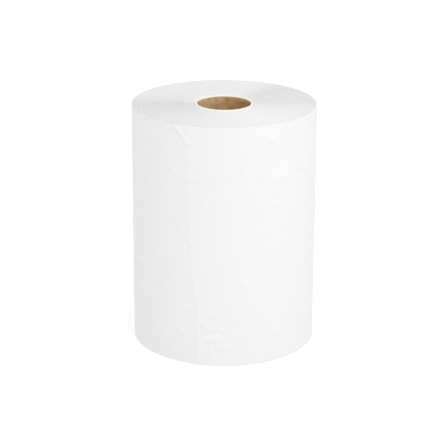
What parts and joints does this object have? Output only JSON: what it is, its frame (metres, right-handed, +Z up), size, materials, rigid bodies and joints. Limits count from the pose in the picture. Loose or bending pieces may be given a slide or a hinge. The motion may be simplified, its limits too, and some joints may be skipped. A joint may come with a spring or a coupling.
{
  "type": "paper towel roll",
  "caption": "Roll of white paper towel wound on a brown cardboard core, standing on its end, with its loose end lying on the front.",
  "frame": {"origin": "centre of the roll's bottom end, on the core's axis", "axes": "+Z up the core's axis, -Y towards the front where the loose end of the paper lies"},
  "size_m": [0.1533, 0.1537, 0.203],
  "materials": {
    "towel_paper": "matte",
    "core_board": "matte"
  },
  "bodies": {
    "root": {"wound_paper": "towel_paper", "cardboard_core": "core_board"}
  },
  "joints": []
}
